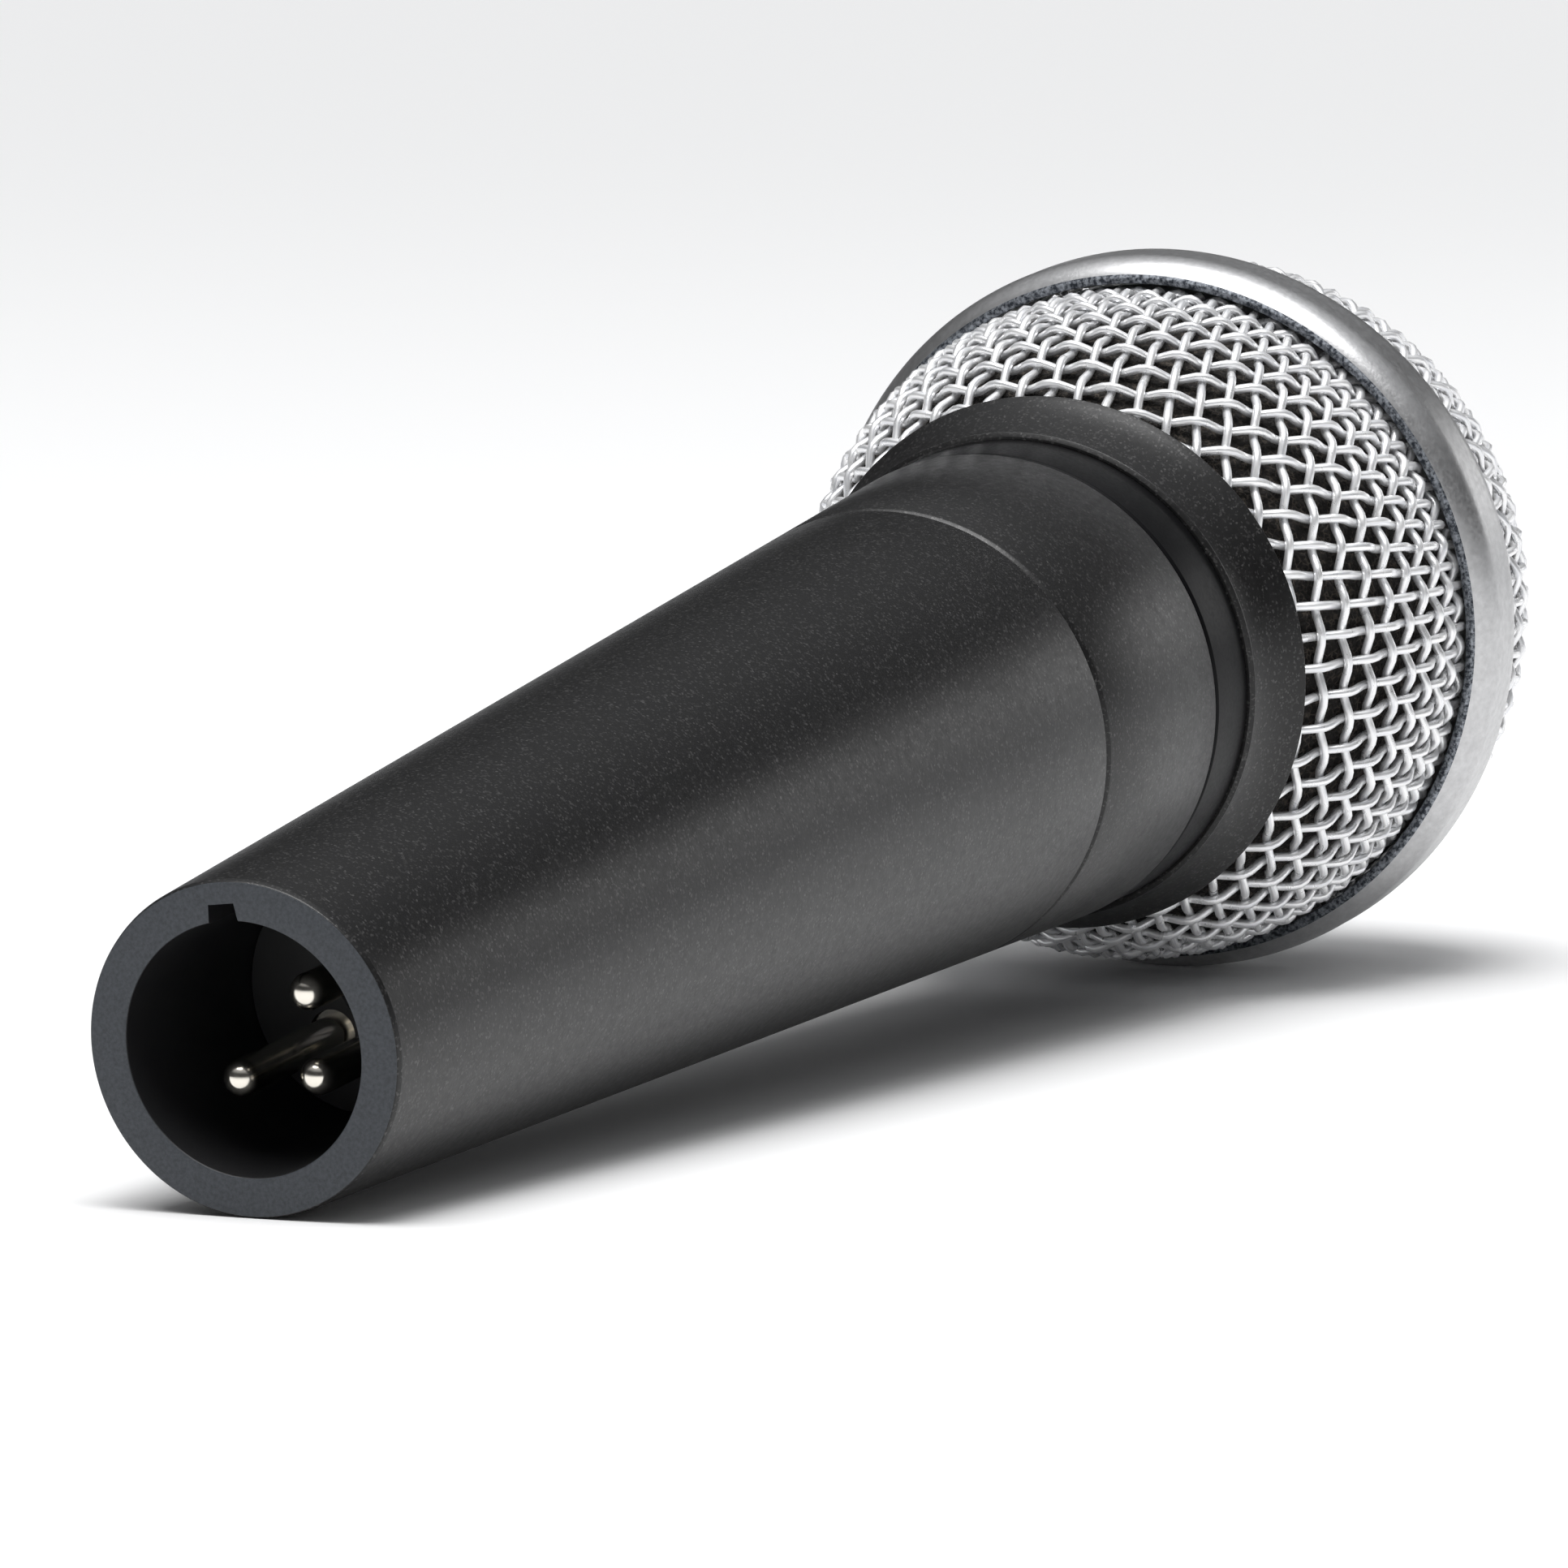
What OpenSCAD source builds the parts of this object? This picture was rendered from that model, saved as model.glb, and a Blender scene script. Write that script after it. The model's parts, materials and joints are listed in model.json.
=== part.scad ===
// Handheld dynamic vocal microphone, taken apart into its real pieces.
// Every piece is drawn along its own axis, connector end at z = 0 and grille
// towards +z. The whole microphone is then laid on its side by lay_down(), so
// that the connector end and the waist band both touch the ground plane.

/* [Handle] */
// Diameter of the connector end
tail_d = 21.4; // [21.2:0.1:22]
// Height of the seam between the lower and the upper body
seam_z = 101.2; // [100:0.2:103]
// Diameter of the handle at the seam
seam_d = 33.2; // [33:0.1:33.8]
// Edge chamfer of the connector end
edge = 0.35; // [0.2:0.05:0.5]

/* [Connector] */
// Diameter of the socket that the plug enters
bore_d = 16.2; // [16.1:0.05:16.3]
// Depth from the end face to the insert
insert_z = 17; // [16:0.5:18]
// Diameter of a contact pin
pin_d = 2.4; // [2.35:0.01:2.45]
// Distance from the socket axis to each pin
pin_circle_r = 3.81; // [3.7:0.01:3.9]
// Depth of the pin tips below the end face
pin_tip_z = 3.3; // [3:0.1:3.6]
// Direction of the keyway round the socket
keyway_turn = 174; // [0:1:359]
// Direction of the third pin round the socket
third_pin_turn = 311; // [0:1:359]

/* [Upper body] */
// Height of the upper body's front edge
body_end_z = 119.6; // [119:0.1:120]
// Pitch of both screw threads
pitch = 1; // [0.75:0.25:1.25]

/* [Grille] */
// Height of the collar's front edge
collar_z = 131.5; // [131:0.1:132]
// Diameter of the collar's front edge
collar_d = 40; // [39.6:0.1:40.4]
// Widest diameter, over the waist band
band_d = 55; // [54.6:0.1:55.4]
// Height of the waist band's rear lip
band_z = 150.4; // [150.2:0.1:150.6]
// Height of the top of the front dome
top_z = 178; // [177:0.5:179]
// Thickness of the woven wire cloth, two wires
cloth_t = 1.2; // [1:0.1:1.2]

/* [Capsule] */
// Diameter of the capsule
capsule_d = 25; // [24.6:0.1:25.2]

/* [Hidden] */
$fn = 96;

charcoal = [0.2, 0.2, 0.21];
black = [0.06, 0.06, 0.065];
nickel = [0.78, 0.78, 0.77];
wire = [0.82, 0.82, 0.83];
copper = [0.72, 0.4, 0.2];
iron = [0.36, 0.36, 0.38];
foam = [0.13, 0.11, 0.1];

tail_r = tail_d / 2;
taper = (seam_d / 2 - tail_r) / seam_z;
bore_r = bore_d / 2;
pin_r = pin_d / 2;
fit_gap = 0.05;

// socket and insert
keyway_w = 2.2;
keyway_depth = 1.1;
keyway_len = 13;
insert_back_z = insert_z + 13;
pin_turns = [third_pin_turn + 90, third_pin_turn - 90, third_pin_turn];
collar_r = pin_r + 0.35;
pin_back_z = insert_back_z + 6;
insert_wall = 1.8;

// inside of the handle
cavity_z = insert_back_z + 2.5;
cavity_low_r = 9.8;
cavity_high_r = 13.8;
body_wall = 1.8;
thread_r = 14.6;
thread_len = 7.5;
seam_gap = 0.25;
seal_r = thread_r + 1.2;
seal_depth = 1;
thread_z = seam_z - thread_len;

// transformer
core_z = 46;
core_len = 20;
core_w = 14;
core_t = 9;
leg_w = 4.4;
window_w = 3;
bobbin_wall = 0.7;
winding_t = 1.6;
strap_t = 0.5;

// upper body
neck_r = 16.4;
neck_z = 125.4;
spigot_wall = 1.9;
grille_thread_r = 15.9;
grille_thread_z = 130.5;
mount_seat_z = 121;
throat_r = 11;
body_end_r = tail_r + taper * body_end_z;

// grille
collar_foot_z = 125.6;
packing_r = 17.1;
packing_z = 126.8;
washer_z = 126.3;
band_r = band_d / 2;
bowl_foot_r = 18.8;
bowl_foot_z = collar_z - 0.9;
bowl_top_z = band_z + 2.2;
bowl_top_r = 25;
bowl_rise = 2.6;
lip_r = 25.55;
dome_z = 157.2;
dome_r = 26.3;
dome_power = 0.8;
foam_t = 2.6;
foam_gap = 0.3;

// capsule
capsule_r = capsule_d / 2;
capsule_z = 112;
capsule_top_z = 143;
capsule_wall = 0.9;
port_z = 134.8;
motor_z = 124;
motor_r = 9.6;
gap_r = 6.1;
coil_gap = 0.35;
coil_t = 0.35;
magnet_top_z = motor_z + 8;
plate_t = 2.5;
diaphragm_z = magnet_top_z + plate_t + 1.2;
film_t = 0.15;
cap_z = 139.5;

// how the microphone lies: the line through the connector end's rim that
// touches the rounded edge of the waist band is the ground
band_round_r = 3;
band_mid_z = band_z + band_round_r * sin(60);
round_centre = [band_r - band_round_r, band_mid_z];
rim = [tail_r + taper * edge, edge];
reach = norm(round_centre - rim);
lean = atan2(round_centre[0] - rim[0], round_centre[1] - rim[1])
    + asin(band_round_r / reach);
low_x = -(tail_r - edge) * sin(lean);
high_x = max([for (p = dome_points(0)) p[1] * cos(lean) + p[0] * sin(lean)]);
rise_z = rim[0] * cos(lean) - rim[1] * sin(lean);

module lay_down()
    translate([-(low_x + high_x) / 2, 0, rise_z]) rotate([0, 90 - lean, 0]) children();

// radius of the tapered handle at a height
function cone_r(z) = tail_r + taper * z;

// points of a round arc from a to b that bulges outwards by rise
function arc_points(a, b, rise, steps = 12) =
    let (chord = b - a, span = norm(chord), side = [chord[1], -chord[0]] / span,
         radius = (span * span / 4 + rise * rise) / (2 * rise),
         centre = (a + b) / 2 + side * (rise - radius),
         from = atan2((a[1] - centre[1]) / radius, (a[0] - centre[0]) / radius),
         to = atan2((b[1] - centre[1]) / radius, (b[0] - centre[0]) / radius))
    [for (i = [0:steps]) let (t = from + (to - from) * i / steps)
        centre + radius * [cos(t), sin(t)]];

// the points that lie between the collar and the band
function past_collar(points) = [for (p = points)
    if (p[1] > collar_z + 0.1 && p[1] < band_z + 0.2) p];

function reversed(list) = [for (i = [len(list) - 1:-1:0]) list[i]];

// points of the dome, drawn inwards by a distance: an ellipse with fuller shoulders
function dome_points(inset) = [for (i = [0:18]) let (a = 5 * i)
    [(dome_r - inset) * pow(cos(a), dome_power),
     dome_z + (top_z - dome_z - inset) * pow(sin(a), dome_power)]];

// points of the rear bowl, drawn inwards by a distance
function bowl_points(inset) = arc_points(
    [bowl_foot_r - inset, bowl_foot_z], [bowl_top_r - inset, bowl_top_z], bowl_rise, 20);

// crest and root points of a thread that runs from low to high
function thread_points(crest_r, low, high) = [for (i = [0:round((high - low) / pitch) - 1])
    each [[crest_r - 0.45, low + i * pitch], [crest_r, low + (i + 0.35) * pitch],
          [crest_r, low + (i + 0.65) * pitch]]];

module turned(points) rotate_extrude() polygon(points);

module tube(outer_r, inner_r, low, high)
    translate([0, 0, low]) difference() {
        cylinder(r = outer_r, h = high - low);
        translate([0, 0, -1]) cylinder(r = inner_r, h = high - low + 2);
    }

module rod(radius, low, high) translate([0, 0, low]) cylinder(r = radius, h = high - low);

module at_turn(turn, radius) rotate([0, 0, turn]) translate([radius, 0, 0]) children();

// ---- lower body -------------------------------------------------------

module handle_shell() color(charcoal) lay_down() difference() {
    turned([
        [bore_r, 0], [tail_r - edge, 0], [cone_r(edge), edge],
        [cone_r(seam_z - 0.3), seam_z - 0.3], [cone_r(seam_z) - 0.25, seam_z],
        [seal_r, seam_z], [seal_r, seam_z - seal_depth], [thread_r, seam_z - seal_depth],
        [thread_r, thread_z - 0.5], [cavity_high_r, thread_z - 1.7],
        [cone_r(cavity_z + 5) - body_wall, cavity_z + 5], [cavity_low_r, cavity_z],
        [bore_r, cavity_z]
    ]);
    at_turn(keyway_turn, bore_r + keyway_depth / 2 - 0.5)
        translate([-keyway_depth / 2 - 0.5, -keyway_w / 2, -1])
            cube([keyway_depth + 1, keyway_w, keyway_len + 1]);
}

module xlr_insert() color(black) lay_down() difference() {
    union() {
        rod(bore_r - fit_gap, insert_z, insert_back_z);
        rod(cavity_low_r - 0.4, insert_back_z + 2.6, insert_back_z + 4);
        rod(bore_r - insert_wall, insert_back_z, insert_back_z + 2.6);
    }
    for (turn = pin_turns) at_turn(turn, pin_circle_r)
        rod(collar_r + fit_gap, insert_z - 1, pin_back_z);
    rod(1.7, insert_z - 1, insert_z + 5);
    at_turn(keyway_turn, bore_r) rod(1, insert_z - 1, insert_z + 1);
    at_turn(third_pin_turn + 35, bore_r - 0.6) rod(1.3, insert_z - 1, insert_z + 0.4);
}

module contact_pin(turn) color(nickel) lay_down() at_turn(turn, pin_circle_r) {
    rotate_extrude() intersection() {
        union() {
            translate([0, pin_tip_z + pin_r]) circle(r = pin_r);
            translate([0, pin_tip_z + pin_r]) square([pin_r, insert_z - pin_tip_z - pin_r]);
            translate([0, insert_z]) square([collar_r, pin_back_z - insert_z - 3]);
            translate([0, pin_back_z - 3]) square([pin_r, 3]);
        }
        square([2 * collar_r, pin_back_z]);
    }
}

module pin_1() contact_pin(pin_turns[0]);
module pin_2() contact_pin(pin_turns[1]);
module pin_3() contact_pin(pin_turns[2]);

module insert_screw() color(iron) lay_down() difference() {
    rod(1.6, insert_z + 1, insert_z + 5);
    translate([-2, -0.3, insert_z + 0.5]) cube([4, 0.6, 1.3]);
}

module ground_spring() color(nickel) lay_down() rotate([0, 0, keyway_turn]) {
    translate([bore_r - 3.2, -1.5, insert_back_z + 4.05]) cube([4.7, 3, 0.4]);
    translate([bore_r + 1.1, -1.5, insert_back_z + 4.05]) cube([0.4, 3, 5.4]);
}

module connector_leads() color([0.75, 0.12, 0.1]) lay_down()
    for (turn = pin_turns) at_turn(turn, pin_circle_r)
        rod(0.6, pin_back_z + 0.02, core_z - 1.6);

module transformer_core() color(iron) lay_down() translate([0, 0, core_z]) difference() {
    translate([-core_w / 2, -core_t / 2, 0]) cube([core_w, core_t, core_len]);
    for (side = [-1, 1]) translate([side * (leg_w + window_w) / 2, 0, core_len / 2])
        cube([window_w, core_t + 2, core_len - 6], center = true);
}

module transformer_bobbin() color(black) lay_down() translate([0, 0, core_z + 3.1]) difference() {
    union() {
        translate([-leg_w / 2 - bobbin_wall, -core_t / 2 - bobbin_wall, 0])
            cube([leg_w + 2 * bobbin_wall, core_t + 2 * bobbin_wall, core_len - 6.2]);
        for (z = [0, core_len - 6.2 - bobbin_wall])
            translate([-leg_w / 2 - window_w + 0.1, -core_t / 2 - 3.2, z])
                cube([leg_w + 2 * window_w - 0.2, core_t + 6.4, bobbin_wall]);
    }
    translate([-leg_w / 2 - 0.05, -core_t / 2 - 0.05, -1])
        cube([leg_w + 0.1, core_t + 0.1, core_len]);
}

module transformer_winding() color(copper) lay_down()
    translate([0, 0, core_z + 3.1 + bobbin_wall + 0.05]) difference() {
        translate([-leg_w / 2 - bobbin_wall - winding_t, -core_t / 2 - bobbin_wall - winding_t, 0])
            cube([leg_w + 2 * (bobbin_wall + winding_t), core_t + 2 * (bobbin_wall + winding_t),
                core_len - 6.3 - 2 * bobbin_wall]);
        translate([-leg_w / 2 - bobbin_wall - 0.02, -core_t / 2 - bobbin_wall - 0.02, -1])
            cube([leg_w + 2 * bobbin_wall + 0.04, core_t + 2 * bobbin_wall + 0.04, core_len]);
    }

module transformer_strap() color(nickel) lay_down() translate([0, 0, core_z - 1]) {
    difference() {
        translate([-core_w / 2 - strap_t, -core_t / 2, 0.4])
            cube([core_w + 2 * strap_t, core_t, core_len + 0.6 + strap_t]);
        translate([-core_w / 2 - 0.02, -core_t / 2 - 1, -0.1])
            cube([core_w + 0.04, core_t + 2, core_len + 1.12]);
    }
    tube(cavity_low_r + 0.6, core_w / 2 + 1.2, -0.4, 0.6);
}

// ---- upper body -------------------------------------------------------

module body_seal() color(black) lay_down()
    tube(seal_r - 0.05, thread_r - 0.4, seam_z - seal_depth + 0.05, seam_z + seam_gap - 0.02);

module upper_body() color(charcoal) lay_down() turned(concat(
    [[thread_r - 0.5 - spigot_wall, thread_z + 0.4]],
    thread_points(thread_r - fit_gap, thread_z + 0.4, seam_z - 0.7),
    [[thread_r - 0.65, seam_z - 0.7], [thread_r - 0.65, seam_z + seam_gap],
     [cone_r(seam_z) - 0.2, seam_z + seam_gap],
     [cone_r(seam_z + 0.5), seam_z + 0.5], [body_end_r - 0.02, body_end_z - 0.25],
     [body_end_r - 0.25, body_end_z], [neck_r, body_end_z], [neck_r, neck_z]],
    thread_points(grille_thread_r - fit_gap, neck_z, grille_thread_z),
    [[grille_thread_r - 0.6, grille_thread_z], [capsule_r + 1.6, grille_thread_z],
     [capsule_r + 1.6, mount_seat_z], [throat_r, mount_seat_z], [throat_r, mount_seat_z - 2],
     [capsule_r + 0.6, mount_seat_z - 3.5], [thread_r - 0.5 - spigot_wall, seam_z + 3]]));

module label_ring() color(black) lay_down()
    turned([[neck_r + 0.02, body_end_z + 0.3], [body_end_r - 0.35, body_end_z + 0.3],
        [body_end_r - 0.2, body_end_z + 0.5], [body_end_r - 0.02, neck_z - 0.2],
        [neck_r + 0.02, neck_z - 0.2]]);

module capsule_leads() color([0.1, 0.35, 0.7]) lay_down()
    for (side = [-1, 1]) translate([0, side * 3, 0]) rod(0.5, core_z + core_len + 1.5, capsule_z - 0.8);

// ---- capsule ----------------------------------------------------------

module shock_mount() color(black) lay_down() turned([
    [capsule_r + 0.02, mount_seat_z + 0.1], [capsule_r + 1.5, mount_seat_z + 0.1],
    [capsule_r + 1.5, mount_seat_z + 2], [capsule_r + 0.7, mount_seat_z + 3],
    [capsule_r + 0.7, mount_seat_z + 5.5], [capsule_r + 1.5, mount_seat_z + 6.5],
    [capsule_r + 1.5, grille_thread_z - 0.2], [capsule_r + 0.02, grille_thread_z - 0.2]]);

module capsule_shell() color([0.55, 0.55, 0.57]) lay_down() difference() {
    turned([
        [throat_r - 0.5, capsule_z], [throat_r - 0.5, mount_seat_z + 1.2],
        [capsule_r, mount_seat_z + 2.2], [capsule_r, cap_z - 0.1],
        [capsule_r - capsule_wall, cap_z - 0.1], [capsule_r - capsule_wall, mount_seat_z + 3],
        [throat_r - 0.5 - capsule_wall, mount_seat_z + 2],
        [throat_r - 0.5 - capsule_wall, capsule_z]]);
    for (turn = [0:30:330]) at_turn(turn, capsule_r - 2) translate([0, 0, port_z])
        rotate([0, 90, 0]) cylinder(r = 1.1, h = 3);
}

module terminal_board() color([0.1, 0.3, 0.16]) lay_down() {
    rod(throat_r - 0.55 - capsule_wall, capsule_z + 0.2, capsule_z + 1.4);
    for (side = [-1, 1]) translate([0, side * 3, 0]) rod(0.9, capsule_z - 0.7, capsule_z + 0.3);
}

module pole_cup() color(iron) lay_down() difference() {
    union() {
        rod(motor_r, motor_z - 2.5, magnet_top_z + plate_t);
        tube(capsule_r - capsule_wall - 0.03, motor_r - 0.5, magnet_top_z, magnet_top_z + 1.5);
    }
    rod(gap_r + 2 * coil_gap + coil_t, motor_z, magnet_top_z + plate_t + 1);
    rod(1.2, motor_z - 4, motor_z + 1);
}

module magnet() color([0.3, 0.3, 0.32]) lay_down()
    rod(gap_r - 0.5, motor_z + 0.02, magnet_top_z - 0.02);

module pole_piece() color(iron) lay_down()
    rod(gap_r, magnet_top_z, magnet_top_z + plate_t);

module voice_coil() color(copper) lay_down()
    tube(gap_r + coil_gap + coil_t, gap_r + coil_gap, magnet_top_z - 0.6, diaphragm_z - 0.02);

module diaphragm() color([0.85, 0.8, 0.6, 0.6]) lay_down() turned(concat(
    [for (i = [0:8]) let (a = 10 * i) [(gap_r + 0.9) * sin(90 - a), diaphragm_z + 2 * sin(a)]],
    [[0, diaphragm_z + 2], [0, diaphragm_z + 2 - film_t]],
    reversed([for (i = [0:8]) let (a = 10 * i)
        [(gap_r + 0.7) * sin(90 - a), diaphragm_z + (2 - film_t) * sin(a)]]),
    [[gap_r + coil_gap, diaphragm_z], [capsule_r - 2, diaphragm_z],
     [capsule_r - 2, diaphragm_z + film_t], [(gap_r + 0.9), diaphragm_z + film_t]]));

module resonator_cap() color(black) lay_down() difference() {
    turned([[capsule_r - 1.6, cap_z - 2.2], [capsule_r - capsule_wall - 0.05, cap_z - 2.2],
        [capsule_r - capsule_wall - 0.05, cap_z], [capsule_r, cap_z],
        [capsule_r, capsule_top_z - 1], [capsule_r - 1, capsule_top_z], [0, capsule_top_z],
        [0, capsule_top_z - 1.4], [capsule_r - 1.6, capsule_top_z - 1.4]]);
    for (turn = [0:45:315]) at_turn(turn, 7) rod(1.5, cap_z, capsule_top_z + 1);
    rod(2, cap_z, capsule_top_z + 1);
}

module cap_cloth() color(black) lay_down()
    rod(capsule_r - 1.4, capsule_top_z + 0.02, capsule_top_z + 0.35);

// ---- grille -----------------------------------------------------------

module grille_gasket() color(black) lay_down()
    tube(packing_r - 0.1, grille_thread_r + 0.25, neck_z + 0.02, washer_z - 0.03);

module grille_washer() color(nickel) lay_down()
    tube(packing_r - 0.1, grille_thread_r + 0.25, washer_z, packing_z - 0.03);

module grille_collar() color(charcoal) lay_down() turned(concat(
    [[grille_thread_r, packing_z], [packing_r, packing_z], [packing_r, collar_foot_z],
     [cone_r(collar_foot_z) - 0.1, collar_foot_z],
     [cone_r(collar_foot_z) + 0.12, collar_foot_z + 0.15],
     [cone_r(collar_foot_z) + 0.12, collar_foot_z + 0.45]],
    arc_points([cone_r(collar_foot_z) - 0.05, collar_foot_z + 0.6],
        [collar_d / 2 + 0.05, collar_z - 0.15], -0.35, 8),
    [[collar_d / 2 - 0.1, collar_z + 0.05], [bowl_foot_r + 0.82, collar_z],
     [bowl_foot_r + 0.15, bowl_foot_z - 0.2], [bowl_foot_r - cloth_t - 0.3, bowl_foot_z - 0.2],
     [bowl_foot_r - cloth_t - 0.3, collar_z], [grille_thread_r + 0.4, collar_z],
     [grille_thread_r, collar_z - 0.5]]));

module rear_mesh() color(wire) lay_down()
    turned(concat(bowl_points(0), reversed(bowl_points(cloth_t))));

module rear_foam() color(foam) lay_down()
    turned(concat(past_collar(bowl_points(cloth_t + foam_gap)),
        reversed(past_collar(bowl_points(cloth_t + foam_t)))));

module waist_band() color(nickel) lay_down() turned(concat(
    [[lip_r, band_z + 0.4], [lip_r + 0.1, band_z]],
    [for (a = [-60:12:0]) round_centre + band_round_r * [cos(a), sin(a)]],
    [[band_r, band_mid_z + 1.2]],
    arc_points([band_r, band_mid_z + 2], [dome_r + 0.15, dome_z + 0.4], 0.35, 5),
    [[dome_r + 0.04, dome_z + 0.35], [dome_r + 0.04, band_z + 4.6], [lip_r, band_z + 4.4]]));

module band_clamp_ring() color(nickel) lay_down() turned([
    [bowl_top_r - cloth_t - 1.1, band_z + 0.7], [bowl_top_r - cloth_t - 0.1, band_z + 0.7],
    [bowl_top_r - cloth_t - 0.1, band_z + 2.8], [dome_r - cloth_t - 0.1, band_z + 3.8],
    [dome_r - cloth_t - 0.1, dome_z + 0.2], [dome_r - cloth_t - 1.1, dome_z + 0.2],
    [dome_r - cloth_t - 1.1, band_z + 4.2], [bowl_top_r - cloth_t - 1.1, band_z + 3.2]]);

module front_mesh() color(wire) lay_down() difference() {
    union() {
        turned(concat([[0, dome_z]], dome_points(0)));
        rod(dome_r - 0.02, dome_z - 2, dome_z);
    }
    turned(concat([[0, dome_z]], dome_points(cloth_t)));
    rod(dome_r - cloth_t, dome_z - 3, dome_z + 0.01);
}

module front_foam() color(foam) lay_down() difference() {
    turned(concat([[0, dome_z + 1]], [for (p = dome_points(cloth_t + foam_gap))
        [p[0], max(p[1], dome_z + 1)]]));
    turned(concat([[0, dome_z]], dome_points(cloth_t + foam_t)));
}

// ---- every piece in its own node --------------------------------------

handle_shell();
xlr_insert();
pin_1();
pin_2();
pin_3();
insert_screw();
ground_spring();
connector_leads();
transformer_core();
transformer_bobbin();
transformer_winding();
transformer_strap();
body_seal();
upper_body();
label_ring();
capsule_leads();
shock_mount();
capsule_shell();
terminal_board();
pole_cup();
magnet();
pole_piece();
voice_coil();
diaphragm();
resonator_cap();
cap_cloth();
grille_gasket();
grille_washer();
grille_collar();
rear_mesh();
rear_foam();
waist_band();
band_clamp_ring();
front_mesh();
front_foam();
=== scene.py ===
import json
import math
import bmesh
import bpy
import numpy as np
from mathutils import Matrix, Vector, noise


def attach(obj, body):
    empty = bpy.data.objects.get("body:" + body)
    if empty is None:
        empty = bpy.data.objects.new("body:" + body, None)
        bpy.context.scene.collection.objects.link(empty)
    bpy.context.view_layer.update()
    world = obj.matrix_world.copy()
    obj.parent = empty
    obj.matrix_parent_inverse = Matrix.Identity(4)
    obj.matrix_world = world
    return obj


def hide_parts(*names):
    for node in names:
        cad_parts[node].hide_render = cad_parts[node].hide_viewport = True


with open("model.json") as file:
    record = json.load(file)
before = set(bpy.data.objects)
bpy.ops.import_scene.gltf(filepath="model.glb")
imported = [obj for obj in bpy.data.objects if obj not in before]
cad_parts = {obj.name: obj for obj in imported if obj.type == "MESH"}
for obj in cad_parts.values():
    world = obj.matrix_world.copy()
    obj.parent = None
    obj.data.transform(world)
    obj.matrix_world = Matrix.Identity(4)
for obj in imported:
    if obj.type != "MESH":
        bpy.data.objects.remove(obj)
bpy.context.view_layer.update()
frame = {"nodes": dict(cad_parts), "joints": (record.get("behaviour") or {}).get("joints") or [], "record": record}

# Sizes are in millimetres along the microphone's own axis, with the connector end at z = 0,
# and millimetres are turned into the frame's metres when a mesh is finished.
MM = 0.001

TAIL_R = 10.7
SEAM_Z = 101.2
SEAM_R = 16.6
BORE_R = 8.1
INSERT_Z = 17.0
PIN_R = 1.2
PIN_CIRCLE_R = 3.81
PIN_TIP_Z = 3.3
PIN_TURNS = (41.0, 221.0, 311.0)
KEYWAY_TURN = 174.0
KEYWAY_WIDTH = 2.2
KEYWAY_DEPTH = 1.1
KEYWAY_LENGTH = 13.0
THREAD_R = 14.6
GRILLE_THREAD_R = 15.9
THREAD_PITCH = 1.0
THREAD_DEPTH = 0.42
NECK_R = 16.4
NECK_Z = 125.4
BODY_END_Z = 119.6
COLLAR_FOOT_Z = 125.6
COLLAR_Z = 131.5
COLLAR_R = 20.0
CLOTH_T = 1.2
FOAM_GAP = 0.35
FOAM_T = 2.6
BOWL_FOOT = (18.8, 130.6)
BOWL_TOP = (25.0, 152.6)
BOWL_RISE = 2.6
BAND_R = 27.5
BAND_Z = 150.4
BAND_ROUND_R = 3.0
BAND_MID_Z = BAND_Z + BAND_ROUND_R * math.sin(math.radians(60))
LIP_R = 25.55
DOME_R = 26.3
DOME_Z = 157.2
DOME_POWER = 0.8
TOP_Z = 178.0
CAPSULE_R = 12.5
CAPSULE_TOP_Z = 143.0

WIRE_D = 0.68
CRIMP = 0.36
WIRE_STEP = 2.3
WIRE_SIDES = 8
CRIMP_STEPS = 3
DRAWN_LINES_APART = 53.7
BOWL_CELLS = 19
DOME_CELLS = 17
BOWL_SKIRT = 3.1
DOME_TUCK = 1.9
DOME_SKIRT = 5.0

# How far the microphone's own axis leans as it lies, in degrees.
LEAN = 6.28

# The camera, with its place in metres from the middle of the socket's mouth.
LENS_MM = 216.5
SENSOR_MM = 36
CAMERA_AZIMUTH = -65.94
CAMERA_ELEVATION = 5.31
CAMERA_OFFSET = (-0.51326, -0.26569, 0.07010)

# The studio: its floor in metres, and the grey of its walls by height from floor to ceiling.
FLOOR_HALF = 60.0
WALL_STOPS = ((0.0, 0.85), (0.07, 0.8), (0.14, 0.05), (0.45, 0.035), (0.8, 0.5), (1.0, 0.9))

body_of = {node: body for body, nodes in frame["record"]["behaviour"]["bodies"].items()
           for node in nodes}


def microphone_axes():
    """The matrix from the microphone's own millimetres to the frame's metres."""
    turn = next(j for j in frame["joints"] if j["name"] == "body_turn")
    along = Vector(turn["axis"]).normalized()
    across = Vector((0, 1, 0))
    down = across.cross(along)
    start = Vector(turn["pos_m"]) - along * SEAM_Z * MM
    turned_axes = Matrix((down, across, along)).transposed().to_4x4()
    return Matrix.Translation(start) @ turned_axes @ Matrix.Scale(MM, 4)


LAID = microphone_axes()


def cone_r(z):
    return TAIL_R + (SEAM_R - TAIL_R) * z / SEAM_Z


# ---- camera, light and floor -------------------------------------------


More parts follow.
